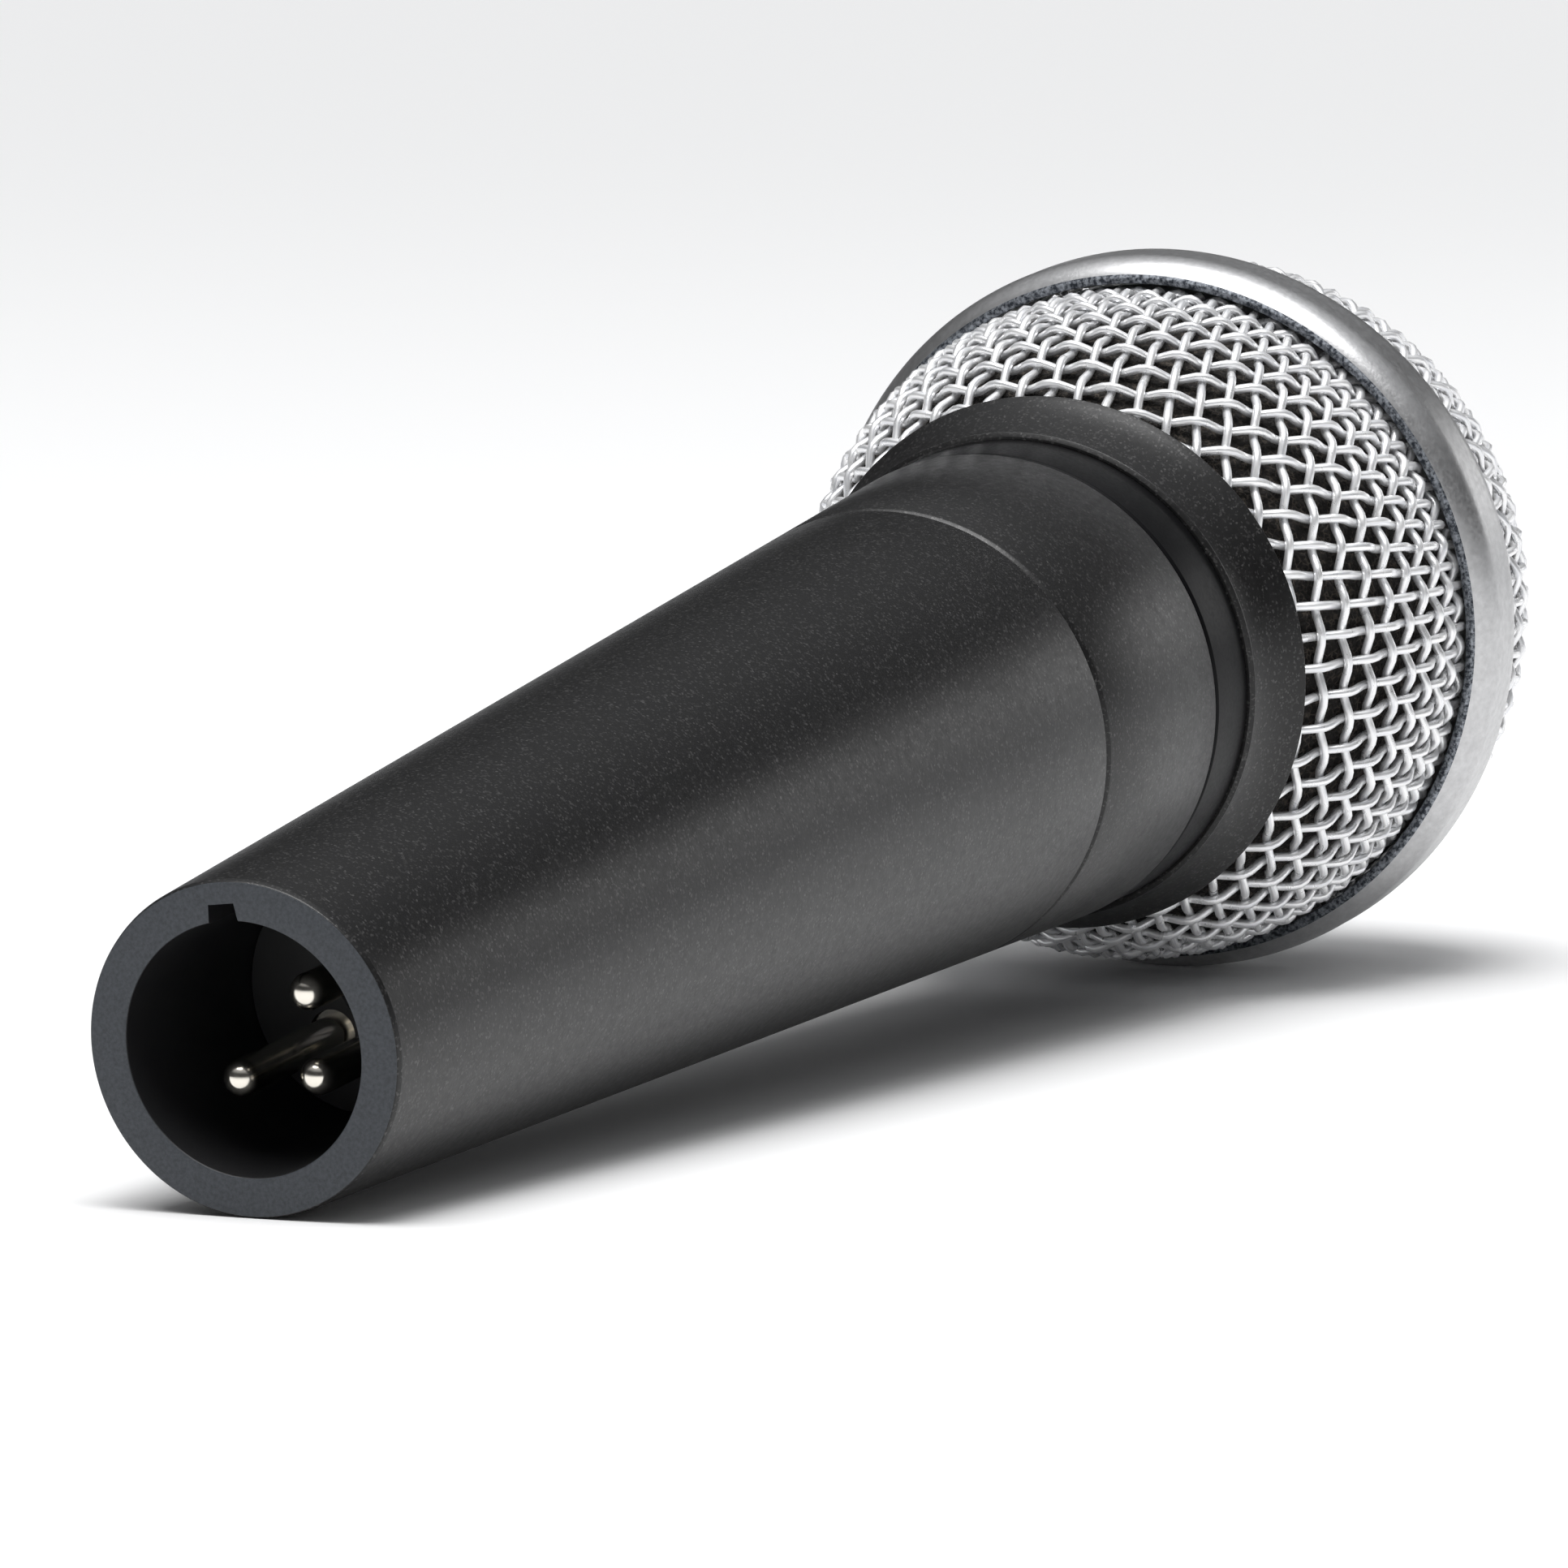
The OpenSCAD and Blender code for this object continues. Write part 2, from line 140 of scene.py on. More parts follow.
def camera():
    """A long lens that looks up the microphone from its connector end."""
    lens = bpy.data.cameras.new("camera")
    lens.lens = LENS_MM
    lens.sensor_width = SENSOR_MM
    lens.clip_start = 0.01
    seen = bpy.data.objects.new("camera", lens)
    bpy.context.scene.collection.objects.link(seen)
    azimuth, elevation = math.radians(CAMERA_AZIMUTH), math.radians(CAMERA_ELEVATION)
    back = Vector((math.sin(azimuth) * math.cos(elevation),
                   -math.cos(azimuth) * math.cos(elevation), math.sin(elevation)))
    seen.location = LAID @ Vector((0, 0, 0)) + Vector(CAMERA_OFFSET)
    seen.rotation_euler = back.to_track_quat("Z", "Y").to_euler()
    bpy.context.scene.camera = seen


def hang(name, light, back, place=(0, 0, 0)):
    """Puts a light in the studio with its back turned that way."""
    lamp = bpy.data.objects.new(name, light)
    lamp.location = place
    lamp.rotation_euler = back.to_track_quat("Z", "Y").to_euler()
    bpy.context.scene.collection.objects.link(lamp)


def softbox(name, place, aim, size, power):
    light = bpy.data.lights.new(name, "AREA")
    light.shape = "RECTANGLE"
    light.size, light.size_y = size
    light.energy = power
    hang(name, light, Vector(place) - Vector(aim), place)


def ceiling_light(back, strength, spread):
    light = bpy.data.lights.new("ceiling_light", "SUN")
    light.energy = strength
    light.angle = math.radians(spread)
    hang("ceiling_light", light, Vector(back))


def studio():
    """The pale floor, the walls that the metal mirrors, and the lights."""
    floor_mesh = bpy.data.meshes.new("floor")
    corners = [(-FLOOR_HALF, -FLOOR_HALF, 0), (FLOOR_HALF, -FLOOR_HALF, 0),
               (FLOOR_HALF, FLOOR_HALF, 0), (-FLOOR_HALF, FLOOR_HALF, 0)]
    floor_mesh.from_pydata(corners, [], [(0, 1, 2, 3)])
    floor = bpy.data.objects.new("floor", floor_mesh)
    bpy.context.scene.collection.objects.link(floor)
    floor_mesh.materials.append(finish("floor_paper", (0.93, 0.93, 0.93), 0.85))

    bpy.context.scene.view_settings.view_transform = "Standard"
    world = bpy.data.worlds.new("studio")
    bpy.context.scene.world = world
    world.use_nodes = True
    tree = world.node_tree
    height = tree.nodes.new("ShaderNodeSeparateXYZ")
    tree.links.new(tree.nodes.new("ShaderNodeTexCoord").outputs["Generated"],
                   height.inputs["Vector"])
    sky = tree.nodes.new("ShaderNodeValToRGB")
    tree.links.new(height.outputs["Z"], sky.inputs["Fac"])
    for number, (place, grey) in enumerate(WALL_STOPS):
        stop = sky.color_ramp.elements[number] if number < 2 else sky.color_ramp.elements.new(place)
        stop.position = place
        stop.color = (grey, grey * 1.01, grey * 1.03, 1)
    tree.links.new(sky.outputs["Color"], tree.nodes["Background"].inputs["Color"])
    tree.nodes["Background"].inputs["Strength"].default_value = 1.0

    softbox("side_softbox", (1.3, -0.68, 0.4), LAID @ Vector((0, 0, 60)), (0.6, 0.4), 1.2)
    softbox("top_softbox", (-0.32, -0.24, 1.14), LAID @ Vector((0, 0, 130)), (0.5, 0.5), 6)
    ceiling_light((-0.25, 0.1, 1.0), 1.8, 40)


# ---- materials ---------------------------------------------------------


def finish(name, colour, roughness, metallic=0.0, **sockets):
    """A material with its shader's own values set, ready for detail."""
    made = bpy.data.materials.new(name)
    made.use_nodes = True
    shader = made.node_tree.nodes["Principled BSDF"]
    shader.inputs["Base Color"].default_value = (*colour, 1)
    shader.inputs["Roughness"].default_value = roughness
    shader.inputs["Metallic"].default_value = metallic
    for socket, value in sockets.items():
        shader.inputs[socket.replace("_", " ")].default_value = value
    return made


def node(made, kind, **values):
    """A new node in a material: inputs by name, and settings written as set_NAME."""
    new = made.node_tree.nodes.new(kind)
    for key, value in values.items():
        if key.startswith("set_"):
            setattr(new, key[4:], value)
        elif isinstance(value, bpy.types.NodeSocket):
            made.node_tree.links.new(value, new.inputs[key.replace("_", " ")])
        else:
            new.inputs[key.replace("_", " ")].default_value = value
    return new


def shader_of(made):
    return made.node_tree.nodes["Principled BSDF"]


def position(made):
    return node(made, "ShaderNodeTexCoord").outputs["Object"]


def speckle(made, grain_mm, detail=2.0, where=None):
    """A noise with grains of about that size, from 0 to 1."""
    return node(made, "ShaderNodeTexNoise", Vector=where or position(made),
                Scale=0.5 / (grain_mm * MM), Detail=detail, Roughness=0.6).outputs["Fac"]


def cells(made, cell_mm, where=None):
    """Random grey for each small cell, as metal flakes have."""
    made_cells = node(made, "ShaderNodeTexVoronoi", Vector=where or position(made),
                      Scale=1 / (cell_mm * MM))
    return made_cells.outputs["Color"]


def remap(made, value, low, high, to_low, to_high):
    return node(made, "ShaderNodeMapRange", Value=value, From_Min=low, From_Max=high,
                To_Min=to_low, To_Max=to_high).outputs["Result"]


def mixed(made, factor, first, second):
    """A colour between two, by a factor."""
    ramp = node(made, "ShaderNodeValToRGB", Fac=factor)
    ramp.color_ramp.elements[0].color = (*first, 1)
    ramp.color_ramp.elements[1].color = (*second, 1)
    return ramp.outputs["Color"]


def link(made, value, socket):
    made.node_tree.links.new(value, shader_of(made).inputs[socket])


def bump(made, height, depth_mm, strength):
    """Raises the surface by a height from 0 to 1, and links it to the shader."""
    raised = node(made, "ShaderNodeBump", Height=height, Strength=strength, Distance=depth_mm * MM)
    link(made, raised.outputs["Normal"], "Normal")


def body_paint():
    """Charcoal lacquer with fine metal flake over a cast body."""
    made = finish("body_paint", (0.02, 0.02, 0.021), 0.42, 0.3, Specular_IOR_Level=0.5)
    flake = remap(made, cells(made, 0.15), 0.7, 1.0, 0.0, 1.0)
    cloudy = speckle(made, 0.35, 3.0)
    tone = node(made, "ShaderNodeMix", set_data_type="RGBA", Factor=flake)
    tone.inputs["A"].default_value = (0.009, 0.0088, 0.009, 1)
    tone.inputs["B"].default_value = (0.075, 0.073, 0.073, 1)
    link(made, tone.outputs["Result"], "Base Color")
    link(made, remap(made, cloudy, 0.3, 0.7, 0.31, 0.41), "Roughness")
    bump(made, speckle(made, 0.16, 3.0), 0.012, 0.8)
    return made


def end_face_painted_light():
    """The same lacquer where it covers the faced end, matt and even, and painted paler as painted light for the
    light that falls on the end face.
    """
    # Painted light: the greys below are paler and bluer than the body lacquer, for the light that the end face
    # catches.
    made = finish("end_face_painted_light", (0.05, 0.055, 0.064), 0.6, 0.1)
    grain = speckle(made, 0.12, 4.0)
    link(made, mixed(made, remap(made, grain, 0.35, 0.65, 0, 1),
                     (0.03, 0.034, 0.04), (0.05, 0.056, 0.065)), "Base Color")
    bump(made, grain, 0.012, 0.7)
    return made


def bore_black():
    made = finish("bore_black", (0.006, 0.006, 0.007), 0.5, 0.0)
    bump(made, speckle(made, 0.25, 3.0), 0.02, 0.6)
    return made


def label_finish():
    made = finish("label_finish", (0.004, 0.004, 0.0045), 0.3, 0.0, Specular_IOR_Level=0.08)
    grain = speckle(made, 0.14, 3.0)
    link(made, remap(made, grain, 0.3, 0.7, 0.28, 0.38), "Roughness")
    bump(made, grain, 0.006, 0.6)
    return made


def nickel_plate():
    made = finish("nickel_plate", (0.83, 0.79, 0.71), 0.16, 1.0)
    link(made, remap(made, speckle(made, 0.5, 3.0), 0.3, 0.7, 0.12, 0.26), "Roughness")
    return made


def band_plate():
    """Satin nickel over a spun band, with the grain of the blasted surface."""
    made = finish("band_plate", (0.55, 0.55, 0.555), 0.34, 0.95)
    grain = speckle(made, 0.13, 4.0)
    link(made, remap(made, grain, 0.3, 0.7, 0.3, 0.42), "Roughness")
    link(made, mixed(made, remap(made, speckle(made, 0.3, 4.0), 0.3, 0.7, 0, 1),
                     (0.47, 0.47, 0.475), (0.58, 0.58, 0.585)), "Base Color")
    bump(made, grain, 0.014, 0.7)
    return made


def band_lip_painted_shade():
    """The blasted rear lip of the band, coarser than the rolled part, and painted darker: painted shade where the
    lip turns away from the light.
    """
    made = finish("band_lip_painted_shade", (0.16, 0.17, 0.19), 0.5, 0.8)
    grain = speckle(made, 0.16, 4.0)
    # Painted shade: the lip's greys are far darker than the band's nickel, standing for the shade on the lip.
    link(made, mixed(made, remap(made, grain, 0.4, 0.62, 0, 1),
                     (0.035, 0.04, 0.05), (0.3, 0.32, 0.35)), "Base Color")
    bump(made, grain, 0.03, 0.9)
    return made


def wire_plate():
    """Bright plated wire with the faint lines that drawing leaves along it."""
    made = finish("wire_plate", (0.88, 0.88, 0.88), 0.3, 0.6)
    along = node(made, "ShaderNodeAttribute", set_attribute_name="along").outputs["Fac"]
    around = node(made, "ShaderNodeAttribute", set_attribute_name="around").outputs["Fac"]
    where = node(made, "ShaderNodeCombineXYZ", X=along, Y=around)
    stretched = node(made, "ShaderNodeMapping", Vector=where.outputs["Vector"],
                     Scale=(0.35, 14.0, 1.0)).outputs["Vector"]
    drawn = node(made, "ShaderNodeTexNoise", Vector=stretched, Scale=1.0, Detail=3.0).outputs["Fac"]
    patch = node(made, "ShaderNodeTexNoise", Vector=where.outputs["Vector"],
                 Scale=0.8, Detail=3.0).outputs["Fac"]
    link(made, mixed(made, remap(made, drawn, 0.36, 0.56, 0, 1),
                     (0.76, 0.77, 0.8), (0.98, 0.98, 0.98)), "Base Color")
    link(made, remap(made, patch, 0.3, 0.7, 0.22, 0.42), "Roughness")
    bump(made, drawn, 0.012, 0.5)
    return made


def grille_foam():
    """Dark open-cell foam: bumped pits, with painted shade in the pits and painted highlights on thin cell walls
    in a few patches.
    """
    made = finish("grille_foam", (0.03, 0.024, 0.02), 0.9, 0.0)
    pits = node(made, "ShaderNodeTexVoronoi", Vector=position(made), Scale=1 / (0.42 * MM),
                set_feature="DISTANCE_TO_EDGE").outputs["Distance"]
    lit_wall = remap(made, pits, 0.0, 0.16, 1.0, 0.0)
    glint_patches = remap(made, speckle(made, 0.3, 3.0), 0.45, 0.6, 0.0, 1.0)
    wall_glints = node(made, "ShaderNodeMath", set_operation="MULTIPLY")
    made.node_tree.links.new(lit_wall, wall_glints.inputs[0])
    made.node_tree.links.new(glint_patches, wall_glints.inputs[1])
    # Painted shade and light: the pits are painted near black as shade, and the cell walls in a few patches
    # painted lighter as glints.
    link(made, mixed(made, wall_glints.outputs["Value"],
                     (0.007, 0.0055, 0.0045), (0.075, 0.062, 0.05)), "Base Color")
    bump(made, pits, 0.35, 0.9)
    return made


def rubber():
    made = finish("seal_rubber", (0.014, 0.014, 0.014), 0.7, 0.0)
    bump(made, speckle(made, 0.3, 3.0), 0.02, 0.5)
    return made


def moulded(name, colour, roughness=0.5):
    made = finish(name, colour, roughness)
    grain = speckle(made, 0.2, 3.0)
    link(made, remap(made, grain, 0.3, 0.7, roughness - 0.06, roughness + 0.08), "Roughness")
    bump(made, grain, 0.015, 0.5)
    return made


def turned_metal(name, colour, roughness=0.3):
    """Metal with the fine rings of a lathe tool, drawn along the microphone's axis."""
    made = finish(name, colour, roughness, 1.0)
    along = node(made, "ShaderNodeVectorMath", set_operation="DOT_PRODUCT")
    made.node_tree.links.new(position(made), along.inputs[0])
    along.inputs[1].default_value = LAID.col[2].to_3d().normalized()
    rings = node(made, "ShaderNodeTexNoise", set_noise_dimensions="1D", W=along.outputs["Value"],
                 Scale=1 / (0.18 * MM), Detail=3.0).outputs["Fac"]
    link(made, remap(made, rings, 0.3, 0.7, roughness - 0.08, roughness + 0.1), "Roughness")
    bump(made, rings, 0.01, 0.6)
    return made


def copper_wire():
    """Enamelled winding wire, laid turn beside turn."""
    made = finish("winding_copper", (0.62, 0.25, 0.09), 0.28, 0.9)
    along = node(made, "ShaderNodeVectorMath", set_operation="DOT_PRODUCT")
    made.node_tree.links.new(position(made), along.inputs[0])
    along.inputs[1].default_value = LAID.col[2].to_3d().normalized()
    count = node(made, "ShaderNodeMath", set_operation="MULTIPLY")
    made.node_tree.links.new(along.outputs["Value"], count.inputs[0])
    count.inputs[1].default_value = 2 * math.pi / (0.12 * MM)
    ridge = node(made, "ShaderNodeMath", set_operation="SINE")
    made.node_tree.links.new(count.outputs["Value"], ridge.inputs[0])
    bump(made, ridge.outputs["Value"], 0.02, 0.8)
    link(made, mixed(made, speckle(made, 0.8, 3.0), (0.45, 0.16, 0.05), (0.75, 0.34, 0.14)),
         "Base Color")
    return made


def woven_black():
    """Fine black cloth: warp and weft as two crossed waves."""
    made = finish("cloth", (0.02, 0.02, 0.021), 0.85, 0.0, Sheen_Weight=0.3)
    flat = node(made, "ShaderNodeMapping", Vector=position(made),
                Rotation=(0, math.radians(-LEAN), 0)).outputs["Vector"]
    threads = []
    for direction in ("Y", "Z"):
        threads.append(node(made, "ShaderNodeTexWave", set_bands_direction=direction, Vector=flat,
                            Scale=1 / (0.9 * MM)).outputs["Fac"])
    weave = node(made, "ShaderNodeMath", set_operation="MAXIMUM")
    for number, thread in enumerate(threads):
        made.node_tree.links.new(thread, weave.inputs[number])
    link(made, mixed(made, weave.outputs["Value"], (0.006, 0.006, 0.006), (0.045, 0.045, 0.047)),
         "Base Color")
    bump(made, weave.outputs["Value"], 0.06, 0.8)
    return made


# ---- meshes ------------------------------------------------------------


def filleted(outline, steps=4):
    """The outline with each corner that names a third number rounded by that radius."""
    rounded = []
    count = len(outline)
    for i, corner in enumerate(outline):
        if len(corner) == 2:
            rounded.append(corner)
            continue
        here = Vector(corner[:2])
        before = (Vector(outline[i - 1][:2]) - here)
        after = (Vector(outline[(i + 1) % count][:2]) - here)
        angle = before.angle(after)
        cut = min(corner[2] / math.tan(angle / 2), 0.45 * before.length, 0.45 * after.length)
        start, end = here + before.normalized() * cut, here + after.normalized() * cut
        for k in range(steps + 1):
            t = k / steps
            rounded.append(tuple((1 - t) ** 2 * start + 2 * t * (1 - t) * here + t * t * end))
    return rounded


def arc(a, b, rise, steps=12):
    """Points of a round arc from a to b that bulges by rise to the right of the way along it."""
    a, b = Vector(a), Vector(b)
    chord = b - a
    side = Vector((chord.y, -chord.x)).normalized()
    radius = (chord.length_squared / 4 + rise * rise) / (2 * rise)
    centre = (a + b) / 2 + side * (rise - radius)
    begin = math.atan2((a.y - centre.y) / radius, (a.x - centre.x) / radius)
    end = math.atan2((b.y - centre.y) / radius, (b.x - centre.x) / radius)
    return [(centre.x + radius * math.cos(begin + (end - begin) * i / steps),
             centre.y + radius * math.sin(begin + (end - begin) * i / steps))
            for i in range(steps + 1)]


def thread_rows(crest_r, low, high, rows_per_turn=10):
    """Outline rows of a screw thread, marked so that each row winds with its helix."""
    count = round((high - low) / THREAD_PITCH * rows_per_turn)
    return [(crest_r, low + (high - low) * i / count, "thread") for i in range(count + 1)]


def link_mesh(name, mesh):
    piece = bpy.data.objects.new(name, mesh)
    bpy.context.scene.collection.objects.link(piece)
    return piece


def settle(piece, node_name, material):
    """The piece takes a node's place: its body and its finish."""
    piece.data.materials.clear()
    for one in material if isinstance(material, (list, tuple)) else [material]:
        piece.data.materials.append(one)
    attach(piece, body_of[node_name])
    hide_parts(node_name)
    return piece


def turned(name, outline, segments=192, at=(0.0, 0.0), sharp=32, ripple=None):
    """A closed ring or rod turned on a lathe from its outline of (radius, height) points.

    Rows marked as thread wind in and out with their helix. ripple moves a row's points by a
    function of their own radius, height and turn, for surfaces that aren't smooth."""
    threaded = any(point[-1] == "thread" for point in outline)
    rows = outline if threaded or ripple else filleted(outline)
    turn = np.linspace(0, 2 * math.pi, segments, endpoint=False)
    points = []
    for row in rows:
        radius, height = np.full(segments, float(row[0])), np.full(segments, float(row[1]))
        if row[-1] == "thread":
            wave = 0.5 + 0.5 * np.cos(2 * math.pi * height / THREAD_PITCH - turn)
            radius -= THREAD_DEPTH * np.clip(1.5 * wave - 0.25, 0, 1)
        if ripple is not None:
            radius, height = ripple(radius, height, turn)
        points.append(np.stack([at[0] + radius * np.cos(turn), at[1] + radius * np.sin(turn),
                                height], -1))
    points = np.concatenate(points)
    count = len(rows)
    faces = []
    for i in range(count):
        j = (i + 1) % count
        for k in range(segments):
            m = (k + 1) % segments
            faces.append((i * segments + k, i * segments + m, j * segments + m, j * segments + k))
    mesh = bpy.data.meshes.new(name)
    mesh.from_pydata(points.tolist(), [], faces)
    clean(mesh)
    return finished(link_mesh(name, mesh), sharp)


def clean(mesh, apart=0.0005):
    """Merges doubles, drops what has collapsed and turns the faces outwards."""
    work = bmesh.new()
    work.from_mesh(mesh)
    bmesh.ops.remove_doubles(work, verts=work.verts, dist=apart)
    bmesh.ops.dissolve_degenerate(work, edges=work.edges, dist=apart / 5)
    bmesh.ops.recalc_face_normals(work, faces=work.faces)
    work.to_mesh(mesh)
    work.free()


def finished(piece, sharp):
    """Lays a piece down in the frame and shades it smooth up to its sharp edges."""
    piece.data.transform(LAID)
    piece.data.shade_smooth()
    piece.data.set_sharp_from_angle(angle=math.radians(sharp))
    return piece


def along_axis(mesh):
    """Height along the microphone, in millimetres, of each face's middle."""
    back_home = LAID.inverted()
    return [(back_home @ face.center).z for face in mesh.polygons]


def smooth_copy(node_name, material, sharp=30):
    """A CAD node's own shape, merged and shaded smooth."""
    mesh = frame["nodes"][node_name].data.copy()
    mesh.name = node_name + "_part"
    piece = link_mesh(node_name + "_part", mesh)
    work = bmesh.new()
    work.from_mesh(mesh)
    bmesh.ops.remove_doubles(work, verts=work.verts, dist=1e-6)
    work.to_mesh(mesh)
    work.free()
    if mesh.attributes.get("custom_normal"):
        mesh.attributes.remove(mesh.attributes["custom_normal"])
    mesh.shade_smooth()
    mesh.set_sharp_from_angle(angle=math.radians(sharp))
    return settle(piece, node_name, material)


# ---- lower body --------------------------------------------------------


def handle(paint, end_face_lit_paint, black):
    """The cast handle: taper, socket with its keyway, and the faced end ring."""
    outline = [
        (BORE_R, 0.0, 0.18), (TAIL_R - 0.1, 0.0, 0.22), (cone_r(0.45), 0.45, 0.2),
        *[(cone_r(z), z) for z in (10, 30, 50, 70, 90)],
        (cone_r(SEAM_Z - 0.2), SEAM_Z - 0.2, 0.12), (cone_r(SEAM_Z) - 0.22, SEAM_Z, 0.1),
        (15.8, SEAM_Z), (15.8, SEAM_Z - 1), (THREAD_R, SEAM_Z - 1), (THREAD_R, 93.2),
        (13.8, 92.0), (cone_r(37.5) - 1.8, 37.5), (9.8, 32.5), (BORE_R, 32.5)]
    shell = turned("handle_body", outline, segments=256)
    cutter_mesh = bpy.data.meshes.new("keyway_cutter")
    inner, outer = BORE_R - 0.8, BORE_R + KEYWAY_DEPTH
    half_in, half_out = KEYWAY_WIDTH / 2, KEYWAY_WIDTH / 2 - 0.22
    corners = [(inner, -half_in), (inner, half_in), (outer, half_out), (outer, -half_out)]
    cutter_mesh.from_pydata([(x, y, z) for z in (-1, KEYWAY_LENGTH) for x, y in corners], [],
                            [(0, 1, 2, 3), (7, 6, 5, 4), (0, 4, 5, 1), (1, 5, 6, 2), (2, 6, 7, 3),
                             (3, 7, 4, 0)])
    clean(cutter_mesh)
    cutter_mesh.transform(LAID @ Matrix.Rotation(math.radians(KEYWAY_TURN), 4, "Z"))
    cutter = link_mesh("keyway_cutter", cutter_mesh)
    cut = shell.modifiers.new("keyway", "BOOLEAN")
    cut.object = cutter
    cut.operation = "DIFFERENCE"
    cut.solver = "EXACT"
    shell = frozen(shell)
    bpy.data.objects.remove(cutter)
    shell.data.set_sharp_from_angle(angle=math.radians(32))
    settle(shell, "handle_shell", [paint, end_face_lit_paint, black])
    back_home = LAID.inverted()
    for face, height in zip(shell.data.polygons, along_axis(shell.data)):
        middle = back_home @ face.center
        if height < 0.03:
            # The end face takes the lacquer painted paler, as painted light.
            face.material_index = 1
        elif height < 33 and math.hypot(middle.x, middle.y) < cone_r(height) - 1.0:
            face.material_index = 2


def frozen(piece):
    """The piece with its modifiers applied, as a plain mesh."""
    piece.update_tag()
    graph = bpy.context.evaluated_depsgraph_get()
    mesh = bpy.data.meshes.new_from_object(piece.evaluated_get(graph))
    name = piece.name
    bpy.data.objects.remove(piece)
    mesh.name = name
    return link_mesh(name, mesh)


def contact_pins(plate):
    """Three round-tipped pins, each with the step that sits in the insert."""
    tip_steps = 8
    for number, turn in enumerate(PIN_TURNS, 1):
        angle = math.radians(turn)
        tip = [(PIN_R * math.sin(math.pi / 2 * i / tip_steps),
                PIN_TIP_Z + PIN_R * (1 - math.cos(math.pi / 2 * i / tip_steps)))
               for i in range(tip_steps + 1)]
        outline = [*tip, (PIN_R, INSERT_Z + 0.4), (PIN_R + 0.35, INSERT_Z + 0.4),
                   (PIN_R + 0.35, 33.0), (PIN_R, 33.0), (PIN_R, 36.0), (0.0, 36.0)]
        pin = turned(f"pin_{number}_turned", outline, segments=48,
                     at=(PIN_CIRCLE_R * math.cos(angle), PIN_CIRCLE_R * math.sin(angle)))
        settle(pin, f"pin_{number}", plate)


# ---- upper body and label ----------------------------------------------


def upper_body(paint):
    """The upper body with both of its screw threads."""
    end_r = cone_r(BODY_END_Z)
    outline = [
        (12.2, 94.1), (THREAD_R - 0.5, 94.1),
        *thread_rows(THREAD_R - 0.05, 94.1, 100.4),
        (13.95, 100.5), (13.95, SEAM_Z + 0.2), (cone_r(SEAM_Z) - 0.3, SEAM_Z + 0.2),
        (cone_r(SEAM_Z + 0.5) - 0.04, SEAM_Z + 0.48), (cone_r(SEAM_Z + 0.6), SEAM_Z + 0.6),
        (cone_r(110), 110.0),
        (end_r - 0.02, BODY_END_Z - 0.3), (end_r - 0.06, BODY_END_Z - 0.12),
        (end_r - 0.25, BODY_END_Z), (NECK_R, BODY_END_Z), (NECK_R, NECK_Z),
        (GRILLE_THREAD_R - 0.5, NECK_Z),
        *thread_rows(GRILLE_THREAD_R - 0.05, NECK_Z + 0.05, 130.3),
        (GRILLE_THREAD_R - 0.6, 130.5), (14.1, 130.5), (14.1, 121.0), (11.0, 121.0),
        (11.0, 119.0), (13.1, 117.5), (12.2, 104.2)]
    settle(turned("upper_body_turned", outline, segments=192), "upper_body", paint)


def label_band(dark):
    """The smooth dark ring between the upper body and the grille."""
    end_r = cone_r(BODY_END_Z)
    outline = [(NECK_R + 0.02, 119.9), (end_r - 0.35, 119.9, 0.12), (end_r - 0.12, 120.3, 0.2),
               (end_r + 0.06, NECK_Z, 0.05), (NECK_R + 0.02, NECK_Z)]
    settle(turned("label_band", outline), "label_ring", dark)


# ---- grille ------------------------------------------------------------


def collar(paint):
    foot_r = cone_r(COLLAR_FOOT_Z)
    flare = arc((foot_r - 0.05, COLLAR_FOOT_Z + 0.6), (COLLAR_R + 0.05, COLLAR_Z - 0.15), -0.35, 10)
    outline = [
        (GRILLE_THREAD_R, 126.8), (17.1, 126.8), (17.1, COLLAR_FOOT_Z),
        (foot_r - 0.12, COLLAR_FOOT_Z, 0.05), (foot_r + 0.2, COLLAR_FOOT_Z + 0.22, 0.08),
        (foot_r + 0.2, COLLAR_FOOT_Z + 0.42, 0.08), *flare[:-1],
        (*flare[-1], 0.1), (COLLAR_R - 0.1, COLLAR_Z + 0.05, 0.08),
        (BOWL_FOOT[0] + 0.82, COLLAR_Z, 0.05), (BOWL_FOOT[0] + 0.15, BOWL_FOOT[1] - 0.2),
        (BOWL_FOOT[0] - CLOTH_T - 0.3, BOWL_FOOT[1] - 0.2),
        (BOWL_FOOT[0] - CLOTH_T - 0.3, COLLAR_Z), (GRILLE_THREAD_R + 0.4, COLLAR_Z),
        (GRILLE_THREAD_R, COLLAR_Z - 0.5)]
    settle(turned("grille_collar_turned", outline, segments=224), "grille_collar", paint)


